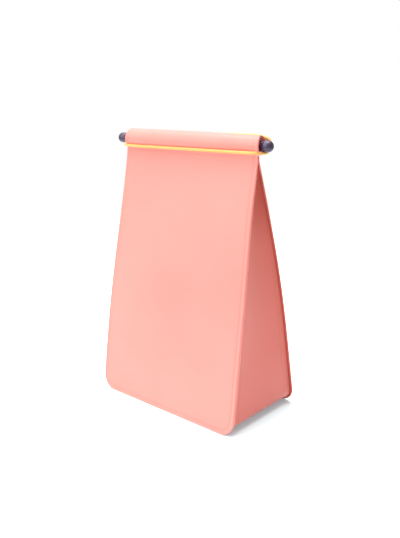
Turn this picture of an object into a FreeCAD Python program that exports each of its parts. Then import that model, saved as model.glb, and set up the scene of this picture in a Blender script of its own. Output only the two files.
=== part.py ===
"""A roll-top silicone food bag: a gusseted standing bag whose mouth is rolled round a plastic
rod, and an elastic band hooked under both ends of the rod that keeps the roll shut.

Millimetres. +Z up, the bag's width along X, its front face towards -Y. The origin is on the
table, under the middle of the bag.

The bag is one silicone moulding, divided here where its sheet changes direction: two sloping
panels, a gusset at each side, a base that is set in from the panels' edges, and the mouth
above the neck. The mouth is a flat double sheet of two turns round the rod. Its outer turn can
be unrolled: it becomes the flap between the neck and the turn that is left.
"""

import FreeCAD, Part
import Sketcher
from FreeCAD import Placement, Rotation, Vector

import math
import os

SIZES = [
    ("bottom_width", 150.0),    # front and back panels at the table
    ("top_width", 141.4),       # panels at the neck, and the roll
    ("depth", 81.4),            # table footprint, front face to back face
    ("neck_height", 206.0),     # top of the panels
    ("corner_radius", 13.0),    # lower corners of the panels
    ("wall", 1.2),              # silicone sheet of the panels, gussets and base
    ("mouth_wall", 0.8),        # thinner sheet from the neck upwards
    ("slit", 0.1),              # between the two layers of the closed mouth
    ("flange", 2.2),            # panel edge that stands out past gussets and base
    ("roll_back", 4.2),         # the roll's axis lies this far behind the neck
    ("flap_height", 3.0),       # double sheet between the neck and the roll when it is shut
    ("roll_gap", 0.15),         # between the flap and the roll
    ("turn_gap", 0.2),          # between the inner and the outer turn
    ("bore_gap", 0.25),         # between the rod's ball ends and the roll
    ("rod_length", 164.0),
    ("rod_shift", 1.2),         # the loose rod lies this far to the left in the roll
    ("rod_diameter", 8.0),      # inside the roll
    ("neck_diameter", 7.4),     # between the roll and each ball end
    ("ball_diameter", 8.6),
    ("rod_end_gap", 1.2),       # the thick part of the rod stops this far inside the roll
    ("band_diameter", 2.4),     # section of the elastic band
    ("band_gap", 0.15),         # between the band and the roll it lies on
    ("band_side_gap", 0.9),     # between the roll's end and the band's end turn
    ("band_bend", 2.6),         # radius of the band's bends, at the middle of its section
    ("front_run_angle", 33.0),  # degrees below the horizontal, in front of the roll
    ("back_run_angle", 46.0),   # degrees above the horizontal, behind the roll
]

WALL = "sizes.wall"
NECK_HALF = "sizes.slit / 2"
MOUTH_LAYERS = "(2 * sizes.mouth_wall + sizes.slit)"
BORE_RADIUS = "(sizes.ball_diameter / 2 + sizes.bore_gap)"
INNER_TURN_RADIUS = f"({BORE_RADIUS} + {MOUTH_LAYERS})"
OUTER_TURN_INSIDE = f"({INNER_TURN_RADIUS} + sizes.turn_gap)"
ROLL_RADIUS = f"({OUTER_TURN_INSIDE} + {MOUTH_LAYERS})"
FLAP_CORNER = f"(sizes.roll_back - {MOUTH_LAYERS} / 2)"
ROLL_AXIS_Z = f"(sizes.neck_height + sizes.flap_height + " \
              f"sqrt(({ROLL_RADIUS} + sizes.roll_gap) ^ 2 - {FLAP_CORNER} ^ 2))"

doc = FreeCAD.newDocument("silicone_bag")
sheet = doc.addObject("Spreadsheet::Sheet", "sizes")
for row, (alias, number) in enumerate(SIZES, 1):
    sheet.set(f"A{row}", alias)
    sheet.set(f"B{row}", str(number))
    sheet.setAlias(f"B{row}", alias)
doc.recompute()

sub_parts = []


def size(expression):
    """The value of an expression on the sheet's cells, as a plain number."""
    return float(sheet.evalExpression(expression))


def new_body(label):
    body = doc.addObject("PartDesign::Body", label)
    body.Label = label
    sub_parts.append(body)
    return body


def new_sketch(body, name, plane):
    """A sketch on one of the body's own origin planes."""
    sketch = body.newObject("Sketcher::SketchObject", name)
    origin_plane = next(f for f in body.Origin.OriginFeatures if f.Role == plane)
    sketch.AttachmentSupport = [(origin_plane, "")]
    sketch.MapMode = "FlatFace"
    return sketch


def bind(sketch, constraint, name, expression):
    """Adds a constraint whose value follows an expression on the sheet."""
    number = sketch.addConstraint(constraint)
    sketch.renameConstraint(number, name)
    sketch.setExpression(f"Constraints.{name}", expression)


def pin(sketch, element, vertex, name, corner):
    """Ties a point of the sketch to a pair of expressions."""
    for kind, letter, expression in (("DistanceX", "x", corner[0]), ("DistanceY", "y", corner[1])):
        distance = Sketcher.Constraint(kind, -1, 1, element, vertex, size(expression))
        bind(sketch, distance, f"{name}{letter}", expression)


def draw_outline(sketch, corners, prefix, rounded=None):
    """A closed outline whose corners are pinned to pairs of expressions.

    rounded maps a corner's number to the expression for its radius. Lines and arcs are drawn where
    they belong, so the constraints only hold them there.
    """
    rounded = rounded or {}
    places = [Vector(size(x), size(y), 0) for x, y in corners]
    arcs = {i: corner_arc(places, i, size(radius)) for i, radius in rounded.items()}
    first = sketch.GeometryCount
    count = len(corners)
    for i in range(count):
        onward = (i + 1) % count
        start = arcs[i].EndPoint if i in arcs else places[i]
        end = arcs[onward].StartPoint if onward in arcs else places[onward]
        sketch.addGeometry(Part.LineSegment(start, end), False)
    for i, corner in enumerate(corners):
        before, after = first + (i - 1) % count, first + i
        if i in arcs:
            round_corner(sketch, (before, after), arcs[i], rounded[i], f"{prefix}{i}", corner)
        else:
            sketch.addConstraint(Sketcher.Constraint("Coincident", before, 2, after, 1))
            pin(sketch, after, 1, f"{prefix}{i}", corner)


def round_corner(sketch, lines, shape, radius, name, corner):
    """Joins two lines by an arc; a pinned point stays where they would have met."""
    before, after = lines
    point = sketch.addGeometry(Part.Point(Vector(size(corner[0]), size(corner[1]), 0)), True)
    pin(sketch, point, 1, name, corner)
    arc = sketch.addGeometry(shape, False)
    start, end = arc_ends(sketch, arc, shape.StartPoint)
    sketch.addConstraint(Sketcher.Constraint("PointOnObject", point, 1, before))
    sketch.addConstraint(Sketcher.Constraint("PointOnObject", point, 1, after))
    sketch.addConstraint(Sketcher.Constraint("Tangent", before, 2, arc, start))
    sketch.addConstraint(Sketcher.Constraint("Tangent", after, 1, arc, end))
    bind(sketch, Sketcher.Constraint("Radius", arc, size(radius)), f"{name}r", radius)


def corner_arc(places, i, radius):
    """The arc that rounds corner i, tangent to the two lines that meet there."""
    corner = places[i]
    back = (places[i - 1] - corner).normalize()
    onward = (places[(i + 1) % len(places)] - corner).normalize()
    half = back.getAngle(onward) / 2
    middle = (back + onward).normalize()
    centre = corner + middle * (radius / math.sin(half))
    reach = radius / math.tan(half)
    return Part.Arc(corner + back * reach, centre - middle * radius, corner + onward * reach)


def arc_ends(sketch, arc, start):
    """The arc's two ends, 1 and 2, with the one at start first: a sketch may have turned it round."""
    return sorted((1, 2), key=lambda end: (sketch.getPoint(arc, end) - start).Length)


def extrude(body, sketch, kind, length):
    """A pad or pocket to both sides of its sketch."""
    feature = body.newObject(f"PartDesign::{kind}", f"{sketch.Name}_{kind.lower()}")
    feature.Profile = sketch
    feature.Midplane = True
    feature.setExpression("Length", length)
    return feature


# Outlines in the side view (Y, Z). The panels' inner faces meet at the neck but for the slit.
PANEL_SIDE = [
    ("sizes.depth / 2", "0"),
    (f"sizes.depth / 2 - {WALL}", "0"),
    (NECK_HALF, "sizes.neck_height"),
    (f"{NECK_HALF} + sizes.mouth_wall", "sizes.neck_height"),
]
INSIDE = [
    (f"-(sizes.depth / 2 - {WALL})", "0"),
    (f"sizes.depth / 2 - {WALL}", "0"),
    (NECK_HALF, "sizes.neck_height"),
    (f"-{NECK_HALF}", "sizes.neck_height"),
]


def mirrored(outline, flip=True):
    """The outline on the other side of the upright axis, still in the same turning sense."""
    return [(f"-({x})", y) for x, y in reversed(outline)] if flip else outline


def half_width(level, inset="0"):
    """Half of the panels' width at a height, less an inset."""
    return f"(sizes.bottom_width / 2 - (sizes.bottom_width - sizes.top_width) / 2 " \
           f"* ({level}) / sizes.neck_height - ({inset}))"


FRONT_VIEW = [
    (f"-{half_width('0')}", "0"),
    (half_width("0"), "0"),
    (half_width("sizes.neck_height"), "sizes.neck_height"),
    (f"-{half_width('sizes.neck_height')}", "sizes.neck_height"),
]
INNER_CORNER = "(sizes.corner_radius - sizes.flange)"
GUSSET_FOOT = f"(sizes.corner_radius + 2 * {WALL})"
BEYOND = "(sizes.bottom_width + sizes.depth)"


def frame_round():
    """A rectangle well outside everything, for cutting away all but an outline."""
    low, high = f"-{BEYOND}", f"sizes.neck_height + {BEYOND}"
    return [(low, low), (BEYOND, low), (BEYOND, high), (low, high)]


def keep_only(body, name, plane, outline, rounded=None):
    """Cuts away all of the body that lies outside an outline."""
    sketch = new_sketch(body, name, plane)
    draw_outline(sketch, frame_round(), "f")
    draw_outline(sketch, outline, "k", rounded)
    return extrude(body, sketch, "Pocket", f"2 * {BEYOND}")


def prism(label, side_outline):
    """A bar along X with the given side view."""
    body = new_body(label)
    sketch = new_sketch(body, f"{label}_side", "YZ_Plane")
    draw_outline(sketch, side_outline, "s")
    extrude(body, sketch, "Pad", "sizes.bottom_width")
    return body


def make_panel(label, flip):
    body = prism(label, mirrored(PANEL_SIDE, flip))
    rounding = {0: "sizes.corner_radius", 1: "sizes.corner_radius"}
    keep_only(body, f"{label}_outline", "XZ_Plane", FRONT_VIEW, rounding)


def inset_outline(inset, top):
    """The panels' outline, moved inwards from its sides and its foot, and cut off at a height."""
    foot_half, top_half = half_width(inset, inset), half_width(top, inset)
    return [(f"-{foot_half}", inset), (foot_half, inset), (top_half, top), (f"-{top_half}", top)]


def make_base():
    """The bottom sheet, which turns up at both ends to meet the gussets."""
    body = prism("base_panel", INSIDE)
    keep_only(body, "base_outline", "XZ_Plane", inset_outline("sizes.flange", GUSSET_FOOT),
              {0: INNER_CORNER, 1: INNER_CORNER})
    inside = f"({INNER_CORNER} - {WALL})"
    hollow = new_sketch(body, "base_hollow", "XZ_Plane")
    draw_outline(hollow, inset_outline(f"(sizes.flange + {WALL})", f"({GUSSET_FOOT} + {WALL})"), "h",
                 {0: inside, 1: inside})
    extrude(body, hollow, "Pocket", f"2 * {BEYOND}")


def make_gusset(label, flip):
    """A tapering side sheet, from the base's turned-up end to the neck."""
    top = "sizes.neck_height"
    thick = f"sizes.flange + {WALL}"
    outline = [
        (half_width(GUSSET_FOOT, thick), GUSSET_FOOT),
        (half_width(GUSSET_FOOT, "sizes.flange"), GUSSET_FOOT),
        (half_width(top, "sizes.flange"), top),
        (half_width(top, thick), top),
    ]
    keep_only(prism(label, INSIDE), f"{label}_outline", "XZ_Plane", mirrored(outline, flip))


def make_flap():
    """The closed double sheet between the neck and the roll."""
    body = new_body("neck_flap")
    sketch = new_sketch(body, "flap_side", "YZ_Plane")
    half = f"({MOUTH_LAYERS} / 2)"
    top = "sizes.neck_height + sizes.flap_height"
    foot = "sizes.neck_height"
    draw_outline(sketch, [(f"-{half}", foot), (half, foot), (half, top), (f"-{half}", top)], "s")
    extrude(body, sketch, "Pad", "sizes.top_width")


def make_turn(label, inside, outside):
    """One turn of the rolled mouth."""
    body = new_body(label)
    sketch = new_sketch(body, f"{label}_ring", "YZ_Plane")
    for name, radius in (("inside", inside), ("outside", outside)):
        centre = Vector(size("sizes.roll_back"), size(ROLL_AXIS_Z), 0)
        ring = sketch.addGeometry(Part.Circle(centre, Vector(0, 0, 1), size(radius)), False)
        pin(sketch, ring, 3, f"{name}_centre_", ("sizes.roll_back", ROLL_AXIS_Z))
        bind(sketch, Sketcher.Constraint("Radius", ring, size(radius)), f"{name}_radius", radius)
    extrude(body, sketch, "Pad", "sizes.top_width")


def lie_along_axis(thing, start):
    """Lays a part primitive on the roll's axis, its own Z along X, from a place on X."""
    thing.Placement = Placement(Vector(0, 0, 0), Rotation(Vector(0, 1, 0), 90))
    thing.setExpression("Placement.Base.x", start)
    thing.setExpression("Placement.Base.y", "sizes.roll_back")
    thing.setExpression("Placement.Base.z", ROLL_AXIS_Z)


def make_rod():
    """A thick middle inside the roll, a thinner neck outside it, and a ball at each end."""
    ball_place = "(sizes.rod_length / 2 - sizes.ball_diameter / 2)"
    thick_half = "(sizes.top_width / 2 - sizes.rod_end_gap - sizes.rod_shift)"
    pieces = []
    for name, half, diameter in (("rod_middle", thick_half, "sizes.rod_diameter"),
                                 ("rod_neck", ball_place, "sizes.neck_diameter")):
        bar = doc.addObject("Part::Cylinder", name)
        bar.setExpression("Radius", f"{diameter} / 2")
        bar.setExpression("Height", f"2 * {half}")
        lie_along_axis(bar, f"-{half} - sizes.rod_shift")
        pieces.append(bar)
    for name, sign in (("rod_ball_left", "-"), ("rod_ball_right", "")):
        ball = doc.addObject("Part::Sphere", name)
        ball.setExpression("Radius", "sizes.ball_diameter / 2")
        lie_along_axis(ball, f"{sign}{ball_place} - sizes.rod_shift")
        pieces.append(ball)
    rod = doc.addObject("Part::MultiFuse", "closing_rod")
    rod.Shapes = pieces
    rod.Label = "closing_rod"
    sub_parts.append(rod)


def make_band():
    """A closed loop: a front run, a back run, and at each end a turn under and behind the rod."""
    reach = size(f"{ROLL_RADIUS} + sizes.band_diameter / 2 + sizes.band_gap")
    axis_y, axis_z = size("sizes.roll_back"), size(ROLL_AXIS_Z)
    down = math.radians(size("sizes.front_run_angle"))
    up = math.radians(size("sizes.back_run_angle"))
    front_y, low = axis_y - reach * math.cos(down), axis_z - reach * math.sin(down)
    back_y, high = axis_y + reach * math.cos(up), axis_z + reach * math.sin(up)
    end = size("sizes.top_width / 2 + sizes.band_side_gap + sizes.band_diameter / 2")
    corners = [Vector(-end, front_y, low), Vector(end, front_y, low), Vector(end, back_y, low),
               Vector(end, back_y, high), Vector(-end, back_y, high), Vector(-end, back_y, low)]
    bend = size("sizes.band_bend")
    arcs = [corner_arc(corners, i, bend) for i in range(len(corners))]
    edges = []
    for i, arc in enumerate(arcs):
        edges.append(arc.toShape())
        onward = arcs[(i + 1) % len(arcs)]
        edges.append(Part.LineSegment(arc.EndPoint, onward.StartPoint).toShape())
    path = Part.Wire(edges)
    section = Part.Wire([Part.Circle(arcs[0].StartPoint, edges[0].tangentAt(edges[0].FirstParameter),
                                     size("sizes.band_diameter") / 2).toShape()])
    band = doc.addObject("Part::Feature", "elastic_band")
    band.Shape = path.makePipeShell([section], True, True)
    band.Placement = Placement(Vector(0, 0, 0), Rotation())
    sub_parts.append(band)
    expected = math.pi * (size("sizes.band_diameter") / 2) ** 2 * path.Length
    print(f"band: length {path.Length:.1f}, volume {band.Shape.Volume:.1f} of {expected:.1f}")


make_panel("front_panel", True)
make_panel("back_panel", False)
make_base()
make_gusset("left_gusset", True)
make_gusset("right_gusset", False)
make_flap()
make_turn("outer_turn", OUTER_TURN_INSIDE, ROLL_RADIUS)
make_turn("inner_turn", BORE_RADIUS, INNER_TURN_RADIUS)
make_rod()
make_band()
doc.recompute()

failed = [o.Label for o in doc.Objects if {"Invalid", "Error"} & set(o.State)]
failed += [o.Label for o in sub_parts if o.Shape.isNull() or not o.Shape.isValid()]
if failed:
    raise SystemExit(f"not built: {failed}")

os.makedirs("parts", exist_ok=True)
for part in sub_parts:
    part.Shape.exportStep(f"parts/{part.Label}.step")
    box = part.Shape.BoundBox
    print(f"{part.Label:14} {len(part.Shape.Solids)} solid, {part.Shape.Volume:8.1f} mm3, "
          f"x {box.XMin:.2f} {box.XMax:.2f}, y {box.YMin:.2f} {box.YMax:.2f}, "
          f"z {box.ZMin:.2f} {box.ZMax:.2f}")
print(f"roll axis z {size(ROLL_AXIS_Z):.2f}, roll radius {size(ROLL_RADIUS):.2f}")
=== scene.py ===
# %% [markdown]
# # A roll-top silicone food bag
# The real object is three things: a bag moulded from soft silicone, a plastic rod that its mouth
# is rolled round, and an elastic band that is hooked under both ends of the rod. The CAD frame
# holds their sizes and motions. This lesson builds their looks round that frame: sheets with
# real thickness and rims, a rolled mouth, a turned rod and a swept cord.

# %% Load the frame
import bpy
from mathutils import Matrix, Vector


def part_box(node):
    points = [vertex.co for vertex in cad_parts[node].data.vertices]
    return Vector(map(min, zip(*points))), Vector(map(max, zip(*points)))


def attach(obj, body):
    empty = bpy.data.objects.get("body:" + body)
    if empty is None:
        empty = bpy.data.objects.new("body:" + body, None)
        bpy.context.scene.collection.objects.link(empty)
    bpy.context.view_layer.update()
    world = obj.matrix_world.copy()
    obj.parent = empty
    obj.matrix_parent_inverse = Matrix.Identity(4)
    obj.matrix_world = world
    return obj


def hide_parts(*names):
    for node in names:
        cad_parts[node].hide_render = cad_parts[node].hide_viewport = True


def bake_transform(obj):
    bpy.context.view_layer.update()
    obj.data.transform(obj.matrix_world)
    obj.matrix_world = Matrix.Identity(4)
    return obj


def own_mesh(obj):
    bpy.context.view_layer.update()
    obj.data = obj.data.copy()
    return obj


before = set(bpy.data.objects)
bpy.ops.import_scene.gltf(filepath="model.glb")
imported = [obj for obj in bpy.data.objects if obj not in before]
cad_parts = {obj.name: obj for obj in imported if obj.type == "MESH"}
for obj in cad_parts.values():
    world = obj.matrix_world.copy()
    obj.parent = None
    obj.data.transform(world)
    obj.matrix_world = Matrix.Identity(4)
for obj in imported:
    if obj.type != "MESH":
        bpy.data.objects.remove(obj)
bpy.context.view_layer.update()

# %% [markdown]
# ## Measures
# Every size is read from the frame's own boxes, so the looks follow the CAD model when it changes.
# A few sizes that the boxes can't tell, such as the thickness of a sheet, are named here in metres.

# %% Measures from the frame
import math

import bmesh
import bpy
import numpy as np
from mathutils import Matrix, Vector

MM = 0.001
front_low, front_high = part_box("front_panel")
flap_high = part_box("neck_flap")[1]
roll_low, roll_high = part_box("outer_turn")
turn_low, turn_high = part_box("inner_turn")
rod_low, rod_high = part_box("closing_rod")
band_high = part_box("elastic_band")[1]
base_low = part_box("base_panel")[0]

HALF_DEPTH = -front_low.y
NECK_Z = front_high.z
NECK_TOP_Z = flap_high.z
HALF_TOP = flap_high.x
AXIS_Y = (roll_low.y + roll_high.y) / 2
AXIS_Z = (roll_low.z + roll_high.z) / 2
ROLL_RADIUS = (roll_high.z - roll_low.z) / 2
TURN_RADIUS = (turn_high.z - turn_low.z) / 2
ROD_SLIP = 1 * MM         # how much further left the rod lies than its solid
ROD_X = (rod_low.x + rod_high.x) / 2 - ROD_SLIP
ROD_HALF = (rod_high.x - rod_low.x) / 2
BALL_RADIUS = (rod_high.z - rod_low.z) / 2
FLANGE = base_low.z
print(f"neck at {NECK_Z:.4f}, roll radius {ROLL_RADIUS:.4f}, rim {FLANGE:.4f} wide")

# %% Sizes that the boxes can't tell
CORNER = 13 * MM          # rounded lower corners of the panels
WALL = 1.2 * MM           # panels, gussets and base
MOUTH_WALL = 0.8 * MM     # each layer of the mouth
LAYER_OUT = 0.45 * MM     # from the middle of the double sheet to the middle of a layer
RIM_WALL = 2.1 * MM       # the rim, where panel and gusset are one thickness
BAND_RADIUS = 1.2 * MM
ROD_RADIUS = 4.0 * MM
ROD_NECK_RADIUS = 3.7 * MM
HALF_BOTTOM = front_high.x + (front_high.x - HALF_TOP) * CORNER / (NECK_Z - CORNER)
print(f"half width {HALF_BOTTOM:.4f} at the floor, {HALF_TOP:.4f} at the neck")

# %% [markdown]
# ## Two helpers for sheets
# A silicone sheet is a closed shell with an outer face, an inner face and edges between them.
# Solidify could thicken a single surface, but then its edge would be square and equally thick
# everywhere. Two grids of points, joined round their borders, let the sheet be thick at its rim,
# thin at its mouth, and round at its edge.

# %% A shell from two grids
def smooth_step(x):
    """0 below 0, 1 above 1, and a soft S between."""
    x = np.clip(x, 0, 1)
    return x * x * (3 - 2 * x)


def grid_faces(rows, columns, first, flip):
    """Quads of a grid of points that starts at vertex number first."""
    i, j = np.meshgrid(np.arange(rows - 1), np.arange(columns - 1), indexing="ij")
    a = first + i * columns + j
    quads = np.stack([a, a + 1, a + columns + 1, a + columns], axis=-1).reshape(-1, 4)
    return quads[:, ::-1] if flip else quads


def border_faces(rows, columns, second):
    """Quads that join the borders of two equal grids; the second starts at vertex second."""
    loop = [(0, j) for j in range(columns)] + [(i, columns - 1) for i in range(1, rows)]
    loop += [(rows - 1, j) for j in range(columns - 2, -1, -1)] + [(i, 0) for i in range(rows - 2, 0, -1)]
    ring = np.array([i * columns + j for i, j in loop])
    onward = np.roll(ring, -1)
    return np.stack([ring, onward, onward + second, ring + second], axis=-1)


def new_piece(name, points, faces, values=None):
    """A mesh object at the origin, with its normals outwards, and named values on its points."""
    mesh = bpy.data.meshes.new(name)
    mesh.from_pydata([tuple(p) for p in points], [], [tuple(int(v) for v in f) for f in faces])
    for key, numbers in (values or {}).items():
        mesh.attributes.new(key, "FLOAT", "POINT").data.foreach_set("value", numbers.astype(np.float32))
    work = bmesh.new()
    work.from_mesh(mesh)
    bmesh.ops.recalc_face_normals(work, faces=work.faces)
    work.to_mesh(mesh)
    work.free()
    mesh.shade_smooth()
    piece = bpy.data.objects.new(name, mesh)
    bpy.context.scene.collection.objects.link(piece)
    print(f"{name}: {len(mesh.vertices)} points, {len(mesh.polygons)} faces")
    return piece


def shell_parts(outer, inner, first=0):
    """Points and faces of a closed sheet between two grids."""
    rows, columns = outer.shape[:2]
    count = rows * columns
    points = np.concatenate([outer.reshape(-1, 3), inner.reshape(-1, 3)])
    faces = np.concatenate([
        grid_faces(rows, columns, 0, False),
        grid_faces(rows, columns, count, True),
        border_faces(rows, columns, count),
    ])
    return points, faces + first


# %% [markdown]
# ## The panels' outline and relief
# Each panel is a tall trapezoid with round lower corners. A bead runs round its edge, and a fine
# groove lies just inside the bead, where the gusset joins on the other side. Both follow one
# number: how far a point lies inside the outline. That distance is worked out once, by formula,
# and the relief, the thickness and the material all read it.

# %% Distance from the edge
SIDE_BULGE = 2.6 * MM     # the sides bow outwards in the middle
NECK_FLARE = 3.3 * MM     # and turn outwards again near the neck
FLARE_FROM = 0.7          # the share of the height where that begins
SIDE_TAPER = HALF_BOTTOM - HALF_TOP + NECK_FLARE


def side_half_width(z):
    """Half of the panel's width at a height, as if its lower corners were sharp."""
    u = np.clip(z / NECK_Z, 0, 1)
    flare = NECK_FLARE * np.clip((u - FLARE_FROM) / (1 - FLARE_FROM), 0, 1) ** 2
    return HALF_BOTTOM - SIDE_TAPER * u + SIDE_BULGE * 4 * u * (1 - u) + flare


def half_width(z):
    """Half of the panel's width at a height, with the round corner."""
    short = np.maximum(CORNER - z, 0)
    return side_half_width(z) - (CORNER - np.sqrt(np.maximum(CORNER ** 2 - short ** 2, 0)))


def edge_distance(x, z):
    """How far a point lies inside the panel's outline."""
    side = side_half_width(z) - np.abs(x)
    in_corner = (side < CORNER) & (z < CORNER)
    corner = CORNER - np.hypot(CORNER - side, CORNER - z)
    return np.maximum(np.where(in_corner, corner, np.minimum(side, z)), 0)


GROOVE_AT = FLANGE + 0.5 * MM


def relief(d):
    """Height of the outer face above a plain sheet: a low bead, then a soft groove."""
    bead = 0.20 * MM * smooth_step((GROOVE_AT - 0.3 * MM - d) / (0.9 * MM))
    groove = 0.20 * MM * np.exp(-((d - GROOVE_AT) / (0.7 * MM)) ** 2)
    return bead - groove


def edge_round(d, radius):
    """1 inside the sheet, and down along a quarter circle to its edge."""
    near = np.clip(1 - d / radius, 0, 1)
    return np.maximum(np.sqrt(1 - near ** 2), 0.1)


print(f"groove {GROOVE_AT / MM:.1f} mm inside the edge")

# %% [markdown]
# ## How the panels stand
# A filled bag doesn't have flat walls. The front bows out a little, the back is rounder and fullest
# above the middle, and both are fuller in the middle of their width. Formulas in the height keep
# the two faces and the gussets between them in step.

# %% Side view of the panels
NECK_OUT = LAYER_OUT + MOUTH_WALL / 2     # outer faces of the panels at the neck
FRONT_BOW, FRONT_HIGHER = 1.8 * MM, -1.1 * MM
BACK_BOW, BACK_HIGHER = 4.3 * MM, 6.8 * MM
BELLY = 1.5 * MM          # how much fuller a panel's middle is than its edges


def leaning_wall(z, bow, higher):
    """How far out a panel stands; bow is its fullness, and higher moves that up or down."""
    u = np.clip(z / NECK_Z, 0, 1)
    return NECK_OUT + (HALF_DEPTH - NECK_OUT) * (1 - u) + 4 * u * (1 - u) * (bow + higher * (u - 0.5))


def front_y(z):
    """The front panel's outer face in side view."""
    return -leaning_wall(z, FRONT_BOW, FRONT_HIGHER)


def back_y(z):
    """The back panel's outer face in side view."""
    return leaning_wall(z, BACK_BOW, BACK_HIGHER)


def belly(x, z):
    """How far the middle of a panel stands proud of its edges."""
    u = np.clip(z / NECK_Z, 0, 1)
    across = np.clip(1 - (x / side_half_width(z)) ** 2, 0, 1)
    return BELLY * np.sin(math.pi * u) * across


def softness(x, z, phase):
    """Slow, shallow unevenness of a hand-filled soft sheet."""
    fade = np.sin(math.pi * np.clip(z / NECK_Z, 0, 1))
    waves = np.sin(38 * x + 21 * z + phase) + 0.7 * np.sin(-27 * x + 55 * z + 2.1 * phase)
    return 0.12 * MM * fade * waves


# %% [markdown]
# ## The mark on the front
# Such bags carry a small mark pressed into the front. This one is a plain leaf: two arcs and a
# midrib, barely deeper than the sheet's own grain.

# %% A leaf outline by formula
MARK_CENTRE = (-1 * MM, 47 * MM)
MARK_LENGTH = 13 * MM
MARK_TURN = math.radians(35)


def leaf(x, z):
    """Depth of the pressed leaf at a point: 1 in the middle of its lines, 0 away from them."""
    dx, dz = x - MARK_CENTRE[0], z - MARK_CENTRE[1]
    along = dx * math.cos(MARK_TURN) + dz * math.sin(MARK_TURN)
    across = -dx * math.sin(MARK_TURN) + dz * math.cos(MARK_TURN)
    t = along / (MARK_LENGTH / 2)
    half = 0.21 * MARK_LENGTH * np.clip(1 - t ** 2, 0, 1)
    line = 0.34 * MM
    outline = np.exp(-((np.abs(across) - half) / line) ** 2) * (np.abs(t) < 1)
    midrib = np.exp(-(across / line) ** 2) * smooth_step((0.75 - np.abs(t)) / 0.1)
    return np.maximum(outline, midrib)


# %% [markdown]
# ## Front and back panels
# The grid is fine where there is something to see: along the edge, in the round corners and round
# the mark. In between, the rows and columns are wider.

# %% Rows and columns
EDGE_STEPS = np.concatenate([np.arange(0, 1.0, 0.2), np.arange(1.0, 14.6, 0.45)]) * MM


def panel_columns(z, mark):
    """The x of every column at one height, from left to right."""
    width = half_width(z)
    inner = width - EDGE_STEPS[-1]
    centre = np.arange(0, 9.01, 0.45) * MM if mark else np.arange(0, 9.01, 3) * MM
    between = np.linspace(centre[-1], inner, 18)[1:]
    right = np.concatenate([centre, between, (width - EDGE_STEPS)[::-1][1:]])
    return np.concatenate([-right[:0:-1], right])


def panel_rows(mark):
    """The height of every row, from the floor to the top of the neck."""
    low = EDGE_STEPS
    mark_low, mark_high = MARK_CENTRE[1] - 8 * MM, MARK_CENTRE[1] + 8 * MM
    fine = np.arange(mark_low, mark_high, 0.45 * MM) if mark else np.arange(mark_low, mark_high, 3 * MM)
    between = np.linspace(low[-1], fine[0], 9)[1:-1]
    above = np.linspace(fine[-1], NECK_Z, 54)[1:]
    return np.concatenate([low, between, fine, above, np.linspace(NECK_Z, NECK_TOP_Z, 4)[1:]])


# %% Build a panel
MARK_DEPTH = 0.22 * MM
# Painted shade: how strong the darker colour painted on the back rim's inner side, beside the gusset, is.
RIM_SHADE = 0.9           # how deep in colour the back rim's hidden side is


def make_panel(name, face_y, out, mark, phase):
    """A panel whose outer face is at face_y(z); out is the sign of its outward Y."""
    heights = panel_rows(mark)
    x = np.array([panel_columns(z, mark) for z in heights])
    z = np.repeat(heights[:, None], x.shape[1], axis=1)
    d = edge_distance(x, z)
    shape = face_y(z) + out * (belly(x, z) + softness(x, z, phase))
    upper = smooth_step((z - NECK_Z + 60 * MM) / (60 * MM))
    sheet = WALL + (MOUTH_WALL - WALL) * upper
    rim_ends = 1 - smooth_step((z - NECK_Z + 12 * MM) / (10 * MM))
    in_rim = smooth_step((FLANGE - d) / (0.6 * MM)) * rim_ends
    thick = sheet + (RIM_WALL - WALL) * in_rim
    pressed = MARK_DEPTH * leaf(x, z) if mark else 0
    half = thick / 2 * edge_round(d, 0.9 * MM)
    middle = shape - out * thick / 2
    outer = np.stack([x, middle + out * (half + relief(d) * (d > 0) - pressed), z], axis=-1)
    inner = np.stack([x, middle - out * half, z], axis=-1)
    points, faces = shell_parts(outer, inner)
    # Painted shade on the back panel's inner face along its rim; the outer faces get none.
    fold = RIM_SHADE * in_rim * (out > 0)
    return new_piece(name, points, faces, {"edge": np.concatenate([d.ravel(), d.ravel()]),
                                           "fold": np.concatenate([0 * fold.ravel(), fold.ravel()])})


front = make_panel("front_sheet", front_y, -1, True, 0.4)
back = make_panel("back_sheet", back_y, 1, False, 2.9)

# %% [markdown]
# ## Gussets and base
# On the real bag, one strip of sheet runs down one side, under the contents and up the other side.
# It is set in from the panels' edges, so the bag stands on their rims. The strip is one lofted
# piece: its path goes round the inset outline, and its width is the room between the panels.

# %% The strip's path
def strip_path():
    """x, z and the inward direction along the inset outline, from the right neck to the left one."""
    radius = CORNER - FLANGE
    corner_x = float(side_half_width(CORNER)) - CORNER
    heights = np.linspace(NECK_Z - 1.0 * MM, CORNER, 60)[:-1]
    side = [(float(side_half_width(z)) - FLANGE, z) for z in heights]
    bend = [(corner_x + radius * math.cos(a), CORNER - radius * math.sin(a))
            for a in np.linspace(0, math.pi / 2, 16)]
    floor = [(x, FLANGE) for x in np.linspace(corner_x, 0, 16)[1:]]
    half = np.array(side + bend + floor)
    whole = np.concatenate([half, half[-2::-1] * np.array([-1, 1])])
    along = np.gradient(whole, axis=0)
    along /= np.linalg.norm(along, axis=1)[:, None]
    return np.concatenate([whole, along[:, 1:], -along[:, :1]], axis=1)


path = strip_path()
print(f"strip of {len(path)} stations")

# %% Build the strip
GUSSET_HOLLOW = 3.0 * MM  # how far a gusset's middle is drawn in
JOIN_FLARE = 0.9 * MM     # how far its edges turn out to meet the panels


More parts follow.
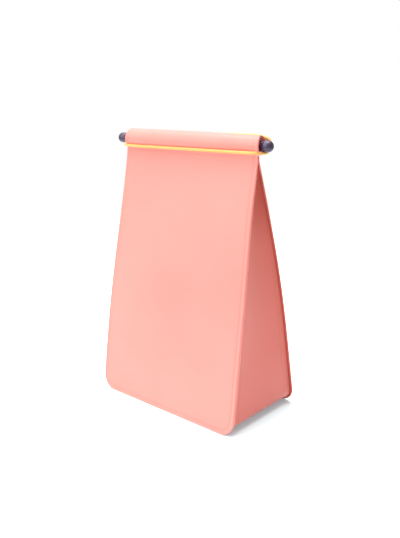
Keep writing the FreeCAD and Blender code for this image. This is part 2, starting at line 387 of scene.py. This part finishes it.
def make_strip():
    """The strip between the panels, with painted shade over all of it that deepens towards the neck."""
    across = np.sin(np.linspace(-math.pi / 2, math.pi / 2, 25))
    x, z, inward_x, inward_z = (path[:, i:i + 1] for i in range(4))
    front_in = front_y(z) + WALL * 0.6
    back_in = back_y(z) - WALL * 0.6
    y = front_in + (back_in - front_in) * (across + 1) / 2
    u = z / NECK_Z
    hollow = GUSSET_HOLLOW * smooth_step((z - 8 * MM) / (60 * MM)) * smooth_step((1 - u) / 0.35)
    to_panel = (back_in - front_in) / 2 * (1 - np.abs(across))
    flare = JOIN_FLARE * np.exp(-(to_panel / (1.6 * MM)) ** 1.5)
    deep = hollow * (1 - across ** 2) ** 1.2 - flare
    outer = np.stack([x + inward_x * deep, y, z + inward_z * deep], axis=-1)
    inner = np.stack([x + inward_x * (deep + WALL), y, z + inward_z * (deep + WALL)], axis=-1)
    points, faces = shell_parts(outer, inner)
    # The strip's edge value falls to 0 at each join to the panels, so the painted groove shade also lies in a
    # faint line along the strip a little in from each join.
    edge = np.repeat((1 - np.abs(across))[None, :] * 20 * MM, len(path), axis=0).ravel()
    # Painted shade: over half strength on the whole strip, and full towards the neck, where the gussets fold
    # in deep.
    painted_shade_depth = 0.55 + 0.05 * u + 0.40 * smooth_step((u - 0.65) / 0.25)
    fold = np.repeat(painted_shade_depth, len(across), axis=1).ravel()
    return new_piece("gussets_and_base", points, faces, {"edge": np.concatenate([edge, edge]),
                                                         "fold": np.concatenate([fold, fold])})


strip = make_strip()

# %% [markdown]
# ## The rolled mouth
# Above the neck the two layers of the mouth lie flat against each other and are wound round the
# rod. Each layer is a ribbon that follows a path in side view. The outer turn climbs from the neck
# up in front of the rod, over the top and down behind, and then dives under itself; the inner turn
# goes on from there. A hand-rolled mouth is never quite straight, so the roll lies a little to the
# right on the neck.

# %% A path in side view
def on_roll(angle, radius):
    """The point at an angle round the roll's axis, 0 in front of it and 90 degrees above it."""
    return np.array([AXIS_Y - radius * math.cos(angle), AXIS_Z + radius * math.sin(angle)])


def bend_onto_roll(start, angle, radius, steps):
    """A soft curve that leaves start straight up and joins a circle round the roll's axis."""
    end = on_roll(angle, radius)
    reach = 0.5 * float(np.linalg.norm(end - start))
    pull_up = start + np.array([0, reach])
    pull_in = end - reach * np.array([math.sin(angle), math.cos(angle)])
    t = np.linspace(0, 1, steps)[:, None]
    near_start = (1 - t) ** 3 * start + 3 * t * (1 - t) ** 2 * pull_up
    return near_start + 3 * t * t * (1 - t) * pull_in + t ** 3 * end


def spiral(from_angle, to_angle, from_radius, to_radius, steps):
    """Round the roll, changing radius softly on the way."""
    t = np.linspace(0, 1, steps)
    radii = from_radius + (to_radius - from_radius) * smooth_step(t)
    angles = from_angle + (to_angle - from_angle) * t
    return np.array([on_roll(a, r) for a, r in zip(angles, radii)])


MIDDLE_OUT = ROLL_RADIUS - MOUTH_WALL - 0.05 * MM
MIDDLE_IN = TURN_RADIUS - MOUTH_WALL - 0.05 * MM
DEG = math.pi / 180
outer_path = np.concatenate([
    bend_onto_roll(np.array([0, NECK_Z + 0.4 * MM]), -30 * DEG, MIDDLE_OUT, 14)[:-1],
    spiral(-30 * DEG, 228 * DEG, MIDDLE_OUT, MIDDLE_OUT, 66)[:-1],
    spiral(228 * DEG, 306 * DEG, MIDDLE_OUT, MIDDLE_IN, 22),
])
inner_path = np.concatenate([
    spiral(-54 * DEG, 236 * DEG, MIDDLE_IN, MIDDLE_IN, 66)[:-1],
    spiral(236 * DEG, 300 * DEG, MIDDLE_IN, MIDDLE_IN - 0.3 * MM, 12),
])
flap_path = np.concatenate([
    np.stack([np.zeros(8), np.linspace(NECK_Z - 0.5 * MM, NECK_TOP_Z, 8)], axis=-1)[:-1],
    bend_onto_roll(np.array([0, NECK_TOP_Z]), -54 * DEG, MIDDLE_IN, 10),
])

# %% Ribbons along a path
def path_normals(line):
    """Unit normals of a path in side view, on its left-hand side, which is outwards on the roll."""
    along = np.gradient(line, axis=0)
    along /= np.linalg.norm(along, axis=1)[:, None]
    return np.stack([-along[:, 1], along[:, 0]], axis=-1)


ROLL_SHIFT = 1.3 * MM     # the roll lies this much to the right on the neck
END_AHEAD, END_BACK = 0.8 * MM, 3.4 * MM


def no_swell(x):
    """For the turns that keep one radius all along."""
    return 0 * x


def roll_swell(x):
    """The roll is a little fuller in the middle, and is pulled tighter at its right end."""
    s = x / HALF_TOP
    return 0.10 * MM * (1 - s ** 2) - 0.55 * MM * smooth_step((s - 0.2) / 0.8)


def end_drift(line):
    """The right end is wound askew: each row's end lies ahead in front, and falls back behind."""
    behind = np.clip((line[:, :1] - (AXIS_Y - ROLL_RADIUS)) / (2 * ROLL_RADIUS), 0, 1)
    return END_AHEAD - END_BACK * smooth_step(behind / 0.6)


def ribbon_columns(half_length):
    """x along the mouth, fine near both ends."""
    steps = np.concatenate([np.arange(0, 0.6, 0.15), np.arange(0.6, 6.2, 0.35)]) * MM
    right = np.concatenate([np.linspace(0, half_length - steps[-1], 16), (half_length - steps)[::-1][1:]])
    return np.concatenate([-right[:0:-1], right])


def make_ribbons(name, line, half_length, swell, start_thin=1.0):
    """Both layers of the mouth along one path; start_thin is their share of thickness at its start."""
    x = ribbon_columns(half_length)[None, :]
    normal = path_normals(line)
    d = half_length - np.abs(x)
    travelled = np.concatenate([[0], np.cumsum(np.linalg.norm(np.diff(line, axis=0), axis=1))])[:, None]
    grow = start_thin + (1 - start_thin) * smooth_step(travelled / (3.2 * MM))
    ends = np.minimum(travelled, travelled[-1] - travelled)
    push = swell(x) * smooth_step(travelled / (12 * MM))
    lifted = smooth_step(travelled / (8 * MM)) if start_thin < 1 else np.ones_like(travelled)
    all_points, all_faces, edges = [], [], []
    for side in (1, -1):
        centre = side * LAYER_OUT * grow + push
        half = MOUTH_WALL / 2 * edge_round(d, 0.4 * MM) * grow * edge_round(ends, 0.4 * MM)
        shape = relief(d) * 0.8 if side == 1 else 0 * d
        faces_at = [centre + half + shape, centre - half]
        grids = []
        for offset in faces_at:
            y = line[:, :1] + normal[:, :1] * offset
            z = line[:, 1:] + normal[:, 1:] * offset
            across = x + lifted * (ROLL_SHIFT + end_drift(line) * smooth_step(x / half_length))
            grids.append(np.stack([across, y, z], axis=-1))
        points, faces = shell_parts(grids[0], grids[1], sum(len(p) for p in all_points))
        all_points.append(points)
        all_faces.append(faces)
        edges.append(np.repeat(np.repeat(d, len(line), axis=0).ravel()[None, :], 2, axis=0).ravel())
    values = {"edge": np.concatenate(edges)}
    return new_piece(name, np.concatenate(all_points), np.concatenate(all_faces), values)


outer_roll = make_ribbons("mouth_outer_turn", outer_path, HALF_TOP - 0.4 * MM, roll_swell, 0.5)
inner_roll = make_ribbons("mouth_inner_turn", inner_path, HALF_TOP - 2.2 * MM, no_swell)
flap = make_ribbons("mouth_flap", flap_path, HALF_TOP - 0.8 * MM, no_swell, 0.9)

# %% [markdown]
# ## The rod
# A turned or moulded rod is a profile spun round its own axis. The profile is a thick middle, a
# soft shoulder down to the neck, and a ball that the neck runs into without a hard corner.

# %% Spin a profile
BALL_HALF = 4.6 * MM      # half of a ball's length, along the rod
BALL_FULLNESS = 0.8       # 1 is an ellipsoid, and less is fuller
SHOULDER = 1.2 * MM       # length of the step from the middle down to the neck


def rod_profile():
    """x and radius from the middle of the rod to its right tip."""
    ball_x = ROD_HALF - BALL_HALF
    step_x = HALF_TOP - 2 * SHOULDER
    points = [(0, ROD_RADIUS), (step_x, ROD_RADIUS)]
    for t in np.linspace(0, 1, 8)[1:]:
        drop = (ROD_RADIUS - ROD_NECK_RADIUS) * float(smooth_step(t))
        points.append((step_x + SHOULDER * t, ROD_RADIUS - drop))
    for a in np.linspace(math.pi * 0.86, 0, 30):
        x = ball_x + BALL_HALF * math.copysign(abs(math.cos(a)) ** BALL_FULLNESS, math.cos(a))
        radius = BALL_RADIUS * math.sin(a) ** BALL_FULLNESS
        points.append((x, max(radius, ROD_NECK_RADIUS) if a > math.pi / 2 else radius))
    return points


def make_rod(turns=48):
    """Points and faces of the profile, mirrored to the left and spun round the rod's axis."""
    right = rod_profile()
    profile = [(-x, r) for x, r in right[:0:-1]] + right
    points, faces = [], []
    for x, r in profile[1:-1]:
        for k in range(turns):
            a = 2 * math.pi * k / turns
            points.append((ROD_X + x, AXIS_Y + r * math.cos(a), AXIS_Z + r * math.sin(a)))
    rings = len(profile) - 2
    for i in range(rings - 1):
        for k in range(turns):
            n = (k + 1) % turns
            faces.append((i * turns + k, i * turns + n, (i + 1) * turns + n, (i + 1) * turns + k))
    tips = [len(points), len(points) + 1]
    points += [(ROD_X + profile[0][0], AXIS_Y, AXIS_Z), (ROD_X + profile[-1][0], AXIS_Y, AXIS_Z)]
    for k in range(turns):
        n = (k + 1) % turns
        faces.append((tips[0], n, k))
        faces.append((tips[1], (rings - 1) * turns + k, (rings - 1) * turns + n))
    return points, faces


rod_points, rod_faces = make_rod()
rod = new_piece("rod", rod_points, rod_faces)

# %% [markdown]
# ## The elastic band
# The band is one closed loop of silicone cord. It crosses the front just below the roll, turns
# under and behind the rod at both ends, and comes back over the roll's shoulder, higher at the
# right than at the left. A curve holds that route, and Geometry Nodes sweep a round section
# along it, so the cord's thickness and fineness stay inputs that can be turned.

# %% The band's route
BAND_REACH = ROLL_RADIUS + BAND_RADIUS + 0.1 * MM
BAND_END_X = band_high.x - BAND_RADIUS


FRONT_ANGLES = (-35, -28)     # round the roll's axis in degrees, from left to right
BACK_ANGLES = (135, 148)      # and from right to left


def band_run(angles, x_from, x_to, steps=9):
    """A nearly straight run along the roll, whose angle drifts from one end to the other."""
    shares = np.linspace(0, 1, steps)
    turned = [(angles[0] + (angles[1] - angles[0]) * t) * DEG for t in shares]
    return [(x_from + (x_to - x_from) * t, *on_roll(a, BAND_REACH)) for t, a in zip(shares, turned)]


def band_end(side, end_x):
    """Under the rod's neck and up behind it, from the front run to the back run.

    Each place says how far out it is in mm, its Y from the axis, and its drop as a share of under.
    """
    under = -(ROD_NECK_RADIUS + BAND_RADIUS + 0.1 * MM)
    places = [(-0.4, -5.6 * MM, 0.86), (0.2, -2.0 * MM, 1.0), (0.4, 2.4 * MM, 1.0),
              (0.3, 6.4 * MM, 0.5), (0.0, 8.2 * MM, -0.5)]
    return [(end_x + side * out * MM, AXIS_Y + y, AXIS_Z + under * drop) for out, y, drop in places]


def band_route():
    """The loop's control points: front run, right end turn, back run, left end turn."""
    run_x = BAND_END_X - 4.6 * MM
    front_run = band_run(FRONT_ANGLES, -run_x, run_x)
    back_run = band_run(BACK_ANGLES, run_x, -run_x)
    return front_run + band_end(1, BAND_END_X) + back_run + band_end(-1, -BAND_END_X)[::-1]


def route_curve(name, points):
    """A closed, soft curve that the points pull on."""
    curve = bpy.data.curves.new(name, "CURVE")
    curve.dimensions = "3D"
    spline = curve.splines.new("NURBS")
    spline.points.add(len(points) - 1)
    for place, point in zip(spline.points, points):
        place.co = (*point, 1)
    spline.use_cyclic_u = True
    spline.order_u = 4
    spline.resolution_u = 10
    return bpy.data.objects.new(name, curve)


# %% Sweep a section with Geometry Nodes
def sweep_tree(material):
    """Curve in, cord out: a circle of a named radius is carried along the curve."""
    tree = bpy.data.node_groups.new("sweep_cord", "GeometryNodeTree")
    tree.interface.new_socket("Route", in_out="INPUT", socket_type="NodeSocketGeometry")
    radius = tree.interface.new_socket("Cord radius", in_out="INPUT", socket_type="NodeSocketFloat")
    sides = tree.interface.new_socket("Sides", in_out="INPUT", socket_type="NodeSocketInt")
    tree.interface.new_socket("Cord", in_out="OUTPUT", socket_type="NodeSocketGeometry")
    add, link = tree.nodes.new, tree.links.new
    given, result = add("NodeGroupInput"), add("NodeGroupOutput")
    section, sweep = add("GeometryNodeCurvePrimitiveCircle"), add("GeometryNodeCurveToMesh")
    smooth, real, finish = (add("GeometryNodeSetShadeSmooth"), add("GeometryNodeRealizeInstances"),
                            add("GeometryNodeSetMaterial"))
    finish.inputs["Material"].default_value = material
    link(given.outputs["Cord radius"], section.inputs["Radius"])
    link(given.outputs["Sides"], section.inputs["Resolution"])
    link(given.outputs["Route"], sweep.inputs["Curve"])
    link(section.outputs["Curve"], sweep.inputs["Profile Curve"])
    link(sweep.outputs["Mesh"], smooth.inputs["Geometry"])
    link(smooth.outputs["Geometry"], real.inputs["Geometry"])
    link(real.outputs["Geometry"], finish.inputs["Geometry"])
    link(finish.outputs["Geometry"], result.inputs["Cord"])
    return tree, radius.identifier, sides.identifier


def swept_piece(name, points, radius, sides, material):
    """The route's curve, swept and turned into a plain mesh."""
    maker = route_curve(name + "_route", points)
    bpy.context.scene.collection.objects.link(maker)
    tree, radius_input, sides_input = sweep_tree(material)
    modifier = maker.modifiers.new("sweep", "NODES")
    modifier.node_group = tree
    modifier[radius_input] = radius
    modifier[sides_input] = sides
    ready = maker.evaluated_get(bpy.context.evaluated_depsgraph_get())
    mesh = bpy.data.meshes.new_from_object(ready)
    bpy.data.objects.remove(maker)
    piece = bpy.data.objects.new(name, mesh)
    bpy.context.scene.collection.objects.link(piece)
    print(f"{name}: {len(mesh.vertices)} points, {len(mesh.polygons)} faces")
    return piece


# %% [markdown]
# ## Materials
# Shader maths reads best as plain expressions. A small class wraps a socket, so that a sum or a
# product adds the Math node for it, and one method makes every other node.

# %% Shader maths as expressions
class Value:
    """An output socket that adds Math nodes when it is used in an expression."""

    def __init__(self, kit, socket):
        self.kit, self.socket = kit, socket

    def maths(self, operation, *operands):
        return self.kit.node("ShaderNodeMath", {"operation": operation}, dict(enumerate(operands)))

    def __add__(self, other):
        return self.maths("ADD", self, other)

    def __mul__(self, other):
        return self.maths("MULTIPLY", self, other)

    __radd__, __rmul__ = __add__, __mul__


class Finish:
    """A material with a Principled shader, and the one method that makes its nodes."""

    def __init__(self, name, **constants):
        self.material = bpy.data.materials.new(name)
        self.material.use_nodes = True
        self.tree = self.material.node_tree
        self.shader = next(n for n in self.tree.nodes if n.type == "BSDF_PRINCIPLED")
        for socket, number in constants.items():
            self.shader.inputs[socket.replace("_", " ")].default_value = number

    def node(self, kind, settings=None, inputs=None, output=0):
        made = self.tree.nodes.new(kind)
        for key, setting in (settings or {}).items():
            if key == "stops":
                self.set_stops(made.color_ramp, setting)
            else:
                setattr(made, key, setting)
        for socket, given in (inputs or {}).items():
            self.feed(made.inputs[socket], given)
        return Value(self, made.outputs[output])

    def set_stops(self, ramp, stops):
        while len(ramp.elements) < len(stops):
            ramp.elements.new(1)
        for element, (place, colour) in zip(ramp.elements, stops):
            element.position, element.color = place, (*colour, 1)

    def feed(self, socket, given):
        if isinstance(given, Value):
            self.tree.links.new(given.socket, socket)
        else:
            socket.default_value = given

    def noise(self, scale, detail=2.0, roughness=0.5):
        """Soft random numbers round one half, fixed to the object's own place."""
        place = self.node("ShaderNodeTexCoord", output="Object")
        return self.node("ShaderNodeTexNoise", {}, {"Vector": place, "Scale": scale, "Detail": detail,
                                                    "Roughness": roughness}, "Fac")

    def attribute(self, name):
        return self.node("ShaderNodeAttribute", {"attribute_name": name}, {}, "Fac")

    def ramp(self, value, stops):
        return self.node("ShaderNodeValToRGB", {"stops": stops}, {"Fac": value}, "Color")

    def mix(self, factor, first, second):
        """Two colours mixed by a factor."""
        return self.node("ShaderNodeMix", {"data_type": "RGBA"}, {0: factor, 6: first, 7: second}, 2)

    def bump(self, height, distance, strength=1.0):
        return self.node("ShaderNodeBump", {}, {"Height": height, "Distance": distance, "Strength": strength},
                         "Normal")


# %% [markdown]
# ## Silicone
# Food silicone is satin: colour all the way through, a broad soft shine, and a faint bloom that
# catches light at the edges. Its surface has a fine moulded grain and a few rubbed places. Painted
# shade deepens the colour in the groove, and more strongly on the gussets and the back rim's inner side.

# %% The bag's silicone
def make_silicone(name, light, deep, painted_shade_colour):
    """The bag's silicone: light and deep drift over it, and the third colour is painted shade, laid on where
    the sheet is in deep shade.
    """
    finish = Finish(name, Subsurface_Weight=0.12, Subsurface_Radius=(0.9, 0.35, 0.25),
                    Subsurface_Scale=1.2 * MM, Sheen_Weight=0.18, Sheen_Roughness=0.45,
                    Specular_IOR_Level=0.42)
    cloud = finish.noise(14, 3)
    rubbed = finish.noise(55, 4, 0.6)
    grain = finish.noise(2600, 2)
    edge = finish.attribute("edge")
    colour = finish.mix(finish.ramp(cloud, [(0.3, (0, 0, 0)), (0.7, (1, 1, 1))]), (*deep, 1), (*light, 1))
    # Painted shade: a thin line of deeper colour along the groove inside the rim.
    in_groove = finish.ramp(edge * (1 / (8 * MM)),
                            [(0.0, (0, 0, 0)), (0.40, (0, 0, 0)), (0.51, (1, 1, 1)), (0.62, (0, 0, 0))])
    pressed = tuple(c * s for c, s in zip(deep, (0.93, 0.80, 0.78)))
    colour = finish.mix(in_groove * 0.6, colour, (*pressed, 1))
    # Painted shade: the gussets and the back rim's inner side are mixed towards a deep red.
    colour = finish.mix(finish.attribute("fold"), colour, (*painted_shade_colour, 1))
    finish.feed(finish.shader.inputs["Base Color"], colour)
    finish.feed(finish.shader.inputs["Roughness"], 0.44 + 0.14 * rubbed)
    finish.feed(finish.shader.inputs["Normal"], finish.bump(grain + 0.6 * rubbed, 0.02 * MM))
    return finish.material


# %% [markdown]
# ## Rod and band
# The rod is moulded plastic with a low sheen, darker than the bag and slightly uneven. The band
# is a brighter, softer silicone, with darker yellow where light comes through it.

# %% Plastic for the rod
def make_rod_plastic():
    finish = Finish("rod_plastic", Specular_IOR_Level=0.5)
    cloud = finish.noise(120, 3)
    scuffs = finish.noise(900, 4, 0.7)
    colour = finish.mix(cloud, (0.040, 0.022, 0.050, 1), (0.056, 0.032, 0.072, 1))
    finish.feed(finish.shader.inputs["Base Color"], colour)
    finish.feed(finish.shader.inputs["Roughness"], 0.34 + 0.16 * scuffs)
    finish.feed(finish.shader.inputs["Normal"], finish.bump(scuffs, 0.02 * MM))
    return finish.material


# %% Yellow silicone for the band
def make_band_rubber():
    finish = Finish("band_rubber", Subsurface_Weight=0.15, Subsurface_Radius=(1.0, 0.7, 0.2),
                    Subsurface_Scale=1.0 * MM, Specular_IOR_Level=0.4, Sheen_Weight=0.1)
    cloud = finish.noise(160, 3)
    grain = finish.noise(3000, 2)
    colour = finish.mix(cloud, (0.74, 0.35, 0.085, 1), (0.78, 0.41, 0.11, 1))
    finish.feed(finish.shader.inputs["Base Color"], colour)
    finish.feed(finish.shader.inputs["Roughness"], 0.40 + 0.15 * grain)
    finish.feed(finish.shader.inputs["Normal"], finish.bump(grain, 0.02 * MM))
    return finish.material


silicone = make_silicone("silicone", light=(0.87, 0.235, 0.195), deep=(0.85, 0.21, 0.172),
                         painted_shade_colour=(0.50, 0.055, 0.026))
rod_plastic = make_rod_plastic()
band_rubber = make_band_rubber()
for piece in (front, back, strip, outer_roll, inner_roll, flap):
    piece.data.materials.append(silicone)
rod.data.materials.append(rod_plastic)
band = swept_piece("band", band_route(), BAND_RADIUS, 20, band_rubber)

# %% [markdown]
# ## Joining the pieces to the frame
# The sheets ride with the bag, and so does the outer turn, the sheet that becomes the flap; it gets
# a mesh of its own. The inner turn rides with the roll, and the flap stays where it is built.

# %% Ride with the frame
for piece, nodes in ((front, ["front_panel"]), (back, ["back_panel"]),
                     (strip, ["base_panel", "left_gusset", "right_gusset"]), (outer_roll, ["outer_turn"])):
    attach(piece, "bag")
    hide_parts(*nodes)
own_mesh(outer_roll)
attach(inner_roll, "roll")
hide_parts("inner_turn")
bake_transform(flap)
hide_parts("neck_flap")
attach(rod, "rod")
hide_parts("closing_rod")
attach(band, "band")
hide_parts("elastic_band")

# %% [markdown]
# ## Studio
# A white table under a white sky, a large soft lamp in front and to the left, and a larger and
# stronger one above: the front and the roll's top are bright, the right side is in soft shade. The
# table glows faintly, so the bag's shadow stays pale.

# %% Floor and sky
def make_floor():
    """A pale table that fades out into the sky."""
    mesh = bpy.data.meshes.new("floor")
    far = 3.0
    mesh.from_pydata([(-far, -far, 0), (far, -far, 0), (far, far, 0), (-far, far, 0)], [], [(0, 1, 2, 3)])
    floor = bpy.data.objects.new("floor", mesh)
    bpy.context.scene.collection.objects.link(floor)
    # Painted light: the table glows faintly blue, which lifts the bag's shadow and cools the pink bounce in
    # it.
    finish = Finish("table", Roughness=0.9, Specular_IOR_Level=0.1, Emission_Strength=0.22)
    finish.feed(finish.shader.inputs["Base Color"], (0.80, 0.92, 0.94, 1))
    finish.feed(finish.shader.inputs["Emission Color"], (0.55, 0.95, 1.0, 1))
    place = finish.node("ShaderNodeTexCoord", output="Object")
    away = finish.node("ShaderNodeVectorMath", {"operation": "LENGTH"}, {0: place}, "Value")
    finish.feed(finish.shader.inputs["Alpha"], finish.ramp(away, [(0.45, (1, 1, 1)), (0.85, (0, 0, 0))]))
    mesh.materials.append(finish.material)


def make_sky(strength):
    """White where it is looked at, and as bright as strength where it lights things."""
    world = bpy.data.worlds.new("sky")
    world.use_nodes = True
    tree = world.node_tree
    background = tree.nodes["Background"]
    background.inputs["Color"].default_value = (1, 1, 1, 1)
    path_kind, level = tree.nodes.new("ShaderNodeLightPath"), tree.nodes.new("ShaderNodeMix")
    level.inputs[2].default_value, level.inputs[3].default_value = strength, 1.0
    tree.links.new(path_kind.outputs["Is Camera Ray"], level.inputs[0])
    tree.links.new(level.outputs[0], background.inputs["Strength"])
    bpy.context.scene.world = world


def make_lamp(name, place, target, size, power):
    """A square soft lamp that looks at a target."""
    data = bpy.data.lights.new(name, "AREA")
    data.shape = "RECTANGLE"
    data.size, data.size_y, data.energy = size, size, power
    lamp = bpy.data.objects.new(name, data)
    bpy.context.scene.collection.objects.link(lamp)
    lamp.location = place
    lamp.rotation_euler = (Vector(target) - Vector(place)).to_track_quat("-Z", "Y").to_euler()


make_floor()
make_sky(0.45)
make_lamp("front_lamp", (-0.6, -1.2, 0.95), (0, 0, 0.22), 1.1, 23)
make_lamp("top_lamp", (-0.2, 0.1, 1.5), (0, 0, 0), 1.3, 44)

# %% Camera
LENS = 46.725
CAMERA_AT = (0.3835, -0.4018, 0.2717)
CAMERA_TURN, CAMERA_DOWN, CAMERA_TILT = math.radians(42.965), math.radians(15.987), -0.0304


def make_camera():
    """A short telephoto from the front right, a little above the bag."""
    data = bpy.data.cameras.new("camera")
    data.lens = LENS
    camera = bpy.data.objects.new("camera", data)
    bpy.context.scene.collection.objects.link(camera)
    aim = (Matrix.Rotation(CAMERA_TURN, 4, "Z") @ Matrix.Rotation(math.pi / 2 - CAMERA_DOWN, 4, "X")
           @ Matrix.Rotation(CAMERA_TILT, 4, "Z"))
    camera.matrix_world = Matrix.Translation(CAMERA_AT) @ aim
    bpy.context.scene.camera = camera


make_camera()
bpy.context.scene.view_settings.view_transform = "Standard"
